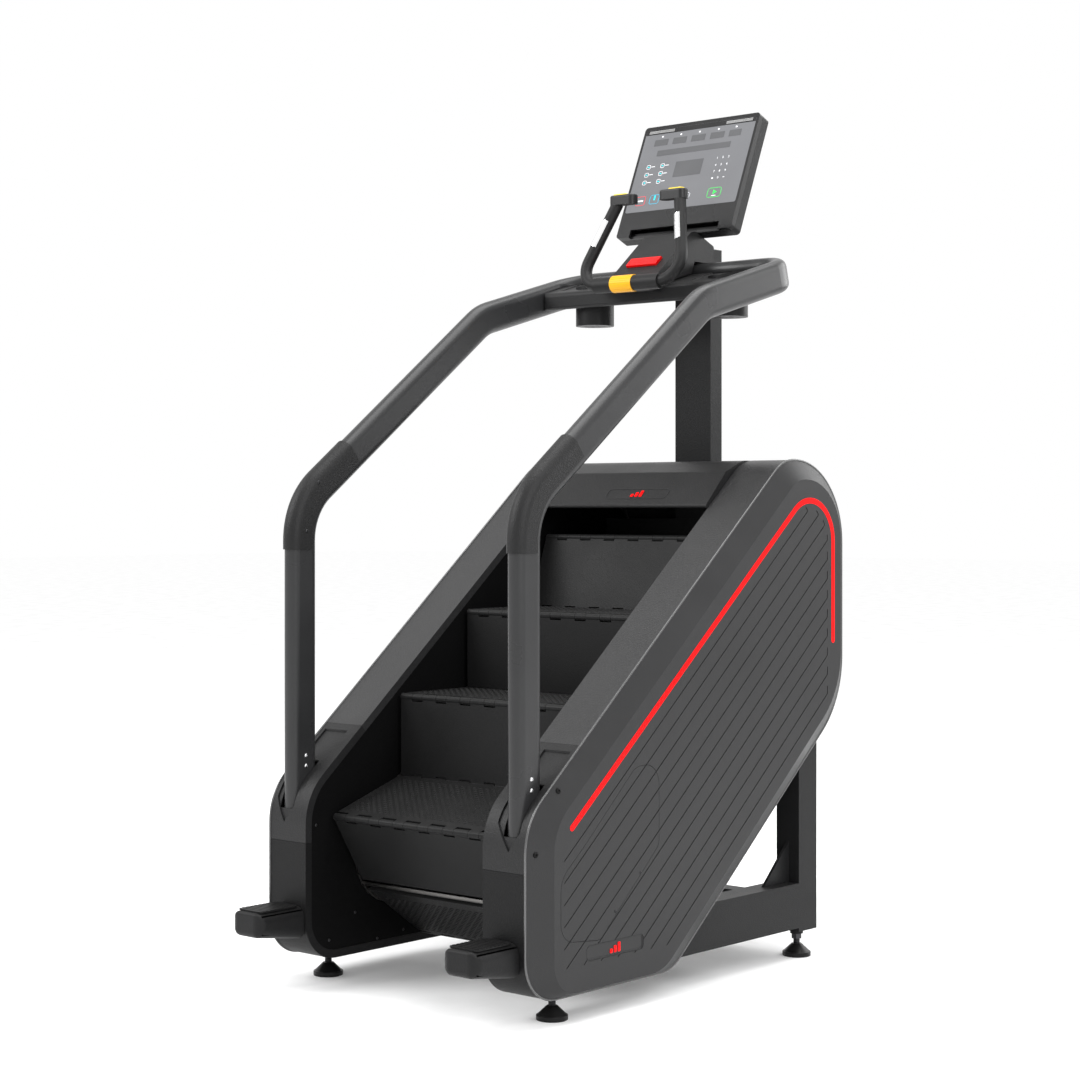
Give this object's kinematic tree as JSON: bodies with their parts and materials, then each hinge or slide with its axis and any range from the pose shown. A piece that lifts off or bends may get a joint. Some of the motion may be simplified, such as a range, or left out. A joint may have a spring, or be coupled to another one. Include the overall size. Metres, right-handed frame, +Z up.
{
  "type": "stair climber",
  "caption": "Revolving-staircase gym machine: hinged steps on side chains between two side units, looped handrail, console on a mast, grips and tray.",
  "frame": {"origin": "on the floor under the middle of the machine's bounding box", "axes": "+Z up, +Y the way the climber faces, towards the console, +X to the climber's right"},
  "size_m": [0.882, 1.39, 2.2171],
  "materials": {
    "panel_charcoal": "satin, finely textured",
    "hatch_charcoal": "satin, finely textured",
    "stripe_red": "smooth, glossy",
    "edge_grey": "coarse orange-peel texture, satin",
    "collar_grey": "orange-peel texture, satin",
    "front_grey": "orange-peel texture, satin",
    "hood_grey": "orange-peel texture, satin",
    "rear_grey": "satin",
    "inner_black": "matt",
    "step_black": "powder coated, moulded grip pattern on top",
    "chain_steel": "oiled",
    "shaft_steel": "turned",
    "bearing_iron": "painted casting",
    "pulley_alloy": "turned",
    "belt_rubber": "ribbed, matt",
    "flywheel_iron": "turned rim",
    "alternator_case": "satin",
    "guide_plastic": "smooth",
    "frame_paint": "powder coated, satin",
    "rail_paint": "powder coated, fine texture",
    "sleeve_plastic": "orange-peel texture, satin",
    "foot_rubber": "matt",
    "nut_steel": "zinc plated",
    "footrest_grey": "satin",
    "pad_rubber": "grooved, matt",
    "tray_grey": "satin, finely textured",
    "cup_black": "satin",
    "neck_grey": "satin",
    "grip_rubber": "soft, matt",
    "band_yellow": "ribbed, glossy",
    "pod_black": "satin",
    "sensor_steel": "polished",
    "switch_yellow": "glossy",
    "stop_red": "glossy",
    "console_black": "satin",
    "bezel_black": "glossy",
    "overlay_grey": "printed keypad film, satin",
    "screw_black": "blackened",
    "inlet_black": "satin"
  },
  "bodies": {
    "frame": {"access_hatches": "hatch_charcoal", "alternator": "alternator_case", "base_frame": "frame_paint", "chain_guides": "guide_plastic", "console_bezel": "bezel_black", "console_housing": "console_black", "console_neck": "neck_grey", "console_overlay": "overlay_grey", "console_tray": "tray_grey", "cover_screws": "screw_black", "cup_holders": "cup_black", "drive_belt": "belt_rubber", "elbow_sleeves": "sleeve_plastic", "foot_locknuts": "nut_steel", "footrest_pads": "pad_rubber", "footrests": "footrest_grey", "front_covers": "front_grey", "grip_heads": "pod_black", "grip_sensors": "sensor_steel", "handlebar": "grip_rubber", "handlebar_band": "band_yellow", "handrail": "rail_paint", "inner_panels": "inner_black", "mast": "frame_paint", "post_collars": "collar_grey", "power_inlet": "inlet_black", "rear_cover": "rear_grey", "shaft_bearings": "bearing_iron", "side_panels": "panel_charcoal", "side_stripes": "stripe_red", "stringer_covers": "edge_grey", "top_hood": "hood_grey"},
    "upper_run": {"tread_2": "step_black", "riser_2": "step_black", "tread_3": "step_black", "riser_3": "step_black", "upper_chains": "chain_steel"},
    "return_run": {"return_steps": "step_black", "return_chains": "chain_steel"},
    "upper_drive": {"upper_shaft": "shaft_steel", "upper_turn_chains": "chain_steel", "drive_pulley": "pulley_alloy"},
    "lower_drive": {"lower_shaft": "shaft_steel", "lower_turn_chains": "chain_steel"},
    "tread_1": {"tread_1": "step_black"},
    "riser_1": {"riser_1": "step_black"},
    "tread_4": {"tread_4": "step_black"},
    "riser_4": {"riser_4": "step_black"},
    "tread_bottom": {"tread_bottom": "step_black"},
    "riser_bottom": {"riser_bottom": "step_black"},
    "tread_behind": {"tread_behind": "step_black"},
    "riser_behind": {"riser_behind": "step_black"},
    "foot_front_left": {"foot_front_left": "foot_rubber"},
    "foot_front_right": {"foot_front_right": "foot_rubber"},
    "foot_rear_left": {"foot_rear_left": "foot_rubber"},
    "foot_rear_right": {"foot_rear_right": "foot_rubber"},
    "speed_switch_left": {"speed_switch_left": "switch_yellow"},
    "speed_switch_right": {"speed_switch_right": "switch_yellow"},
    "stop_bar": {"stop_bar": "stop_red"},
    "flywheel": {"flywheel": "flywheel_iron"}
  },
  "joints": [
    {"name": "stair_travel", "type": "slide", "parent": "frame", "child": "upper_run", "axis": [0, 0.7684, 0.64], "range_m": [-0.03175, 0.03175]},
    {"name": "return_travel", "type": "slide", "parent": "frame", "child": "return_run", "axis": [0, 0.7684, 0.64], "range_m": [-0.03225, 0.03225]},
    {"name": "tread_1_hinge", "type": "hinge", "parent": "upper_run", "child": "tread_1", "pos_m": [0, -0.23078, 0.48201], "axis": [1, 0, 0], "range_deg": [-6.78, 6.78]},
    {"name": "riser_1_hinge", "type": "hinge", "parent": "tread_1", "child": "riser_1", "pos_m": [0, -0.46276, 0.40638], "axis": [1, 0, 0], "range_deg": [-4.93, 4.93]},
    {"name": "riser_4_hinge", "type": "hinge", "parent": "upper_run", "child": "riser_4", "pos_m": [0, 0.25716, 0.88839], "axis": [1, 0, 0], "range_deg": [-6.77, 6.77]},
    {"name": "tread_4_hinge", "type": "hinge", "parent": "riser_4", "child": "tread_4", "pos_m": [0, 0.32504, 1.07991], "axis": [1, 0, 0], "range_deg": [-5.02, 5.02]},
    {"name": "riser_bottom_hinge", "type": "hinge", "parent": "return_run", "child": "riser_bottom", "pos_m": [0, -0.09245, 0.28155], "axis": [1, 0, 0], "range_deg": [-6.77, 6.77]},
    {"name": "tread_bottom_hinge", "type": "hinge", "parent": "riser_bottom", "child": "tread_bottom", "pos_m": [0, -0.16034, 0.09002], "axis": [1, 0, 0], "range_deg": [-5.02, 5.02]},
    {"name": "tread_behind_hinge", "type": "hinge", "parent": "return_run", "child": "tread_behind", "pos_m": [0, 0.39548, 0.68793], "axis": [1, 0, 0], "range_deg": [-6.78, 6.78]},
    {"name": "riser_behind_hinge", "type": "hinge", "parent": "tread_behind", "child": "riser_behind", "pos_m": [0, 0.62746, 0.76356], "axis": [1, 0, 0], "range_deg": [-4.93, 4.93]},
    {"name": "upper_shaft_spin", "type": "hinge", "parent": "frame", "child": "upper_drive", "pos_m": [0, 0.4239, 0.86944], "axis": [1, 0, 0], "range_deg": [-15.5, 15.5]},
    {"name": "lower_shaft_spin", "type": "hinge", "parent": "frame", "child": "lower_drive", "pos_m": [0, -0.2592, 0.3005], "axis": [1, 0, 0], "range_deg": [-15.5, 15.5]},
    {"name": "flywheel_spin", "type": "hinge", "parent": "frame", "child": "flywheel", "pos_m": [0, 0.135, 0.47], "axis": [1, 0, 0], "range_deg": [-56, 56]},
    {"name": "foot_front_left_adjust", "type": "slide", "parent": "frame", "child": "foot_front_left", "axis": [0, 0, -1], "range_m": [0, 0.02]},
    {"name": "foot_front_right_adjust", "type": "slide", "parent": "frame", "child": "foot_front_right", "axis": [0, 0, -1], "range_m": [0, 0.02]},
    {"name": "foot_rear_left_adjust", "type": "slide", "parent": "frame", "child": "foot_rear_left", "axis": [0, 0, -1], "range_m": [0, 0.02]},
    {"name": "foot_rear_right_adjust", "type": "slide", "parent": "frame", "child": "foot_rear_right", "axis": [0, 0, -1], "range_m": [0, 0.02]},
    {"name": "speed_switch_left_press", "type": "slide", "parent": "frame", "child": "speed_switch_left", "axis": [0, 0, -1], "range_m": [0, 0.003], "stiffness_N_per_m": 400, "springref_m": -0.003},
    {"name": "speed_switch_right_press", "type": "slide", "parent": "frame", "child": "speed_switch_right", "axis": [0, 0, -1], "range_m": [0, 0.003], "stiffness_N_per_m": 400, "springref_m": -0.003},
    {"name": "stop_bar_press", "type": "slide", "parent": "frame", "child": "stop_bar", "axis": [0, 0.6432, -0.7657], "range_m": [0, 0.003], "stiffness_N_per_m": 800, "springref_m": -0.003}
  ],
  "couplings": [
    {"joint": "return_travel", "follows": "stair_travel", "ratio": -1},
    {"joint": "tread_1_hinge", "follows": "stair_travel", "rad_per_m": -3.562},
    {"joint": "riser_1_hinge", "follows": "stair_travel", "rad_per_m": -2.545},
    {"joint": "riser_4_hinge", "follows": "stair_travel", "rad_per_m": -3.559},
    {"joint": "tread_4_hinge", "follows": "stair_travel", "rad_per_m": -2.596},
    {"joint": "riser_bottom_hinge", "follows": "stair_travel", "rad_per_m": -3.559},
    {"joint": "tread_bottom_hinge", "follows": "stair_travel", "rad_per_m": -2.596},
    {"joint": "tread_behind_hinge", "follows": "stair_travel", "rad_per_m": -3.562},
    {"joint": "riser_behind_hinge", "follows": "stair_travel", "rad_per_m": -2.545},
    {"joint": "upper_shaft_spin", "follows": "stair_travel", "rad_per_m": -8.2457},
    {"joint": "lower_shaft_spin", "follows": "stair_travel", "rad_per_m": -8.2457},
    {"joint": "flywheel_spin", "follows": "stair_travel", "rad_per_m": -30.344}
  ]
}
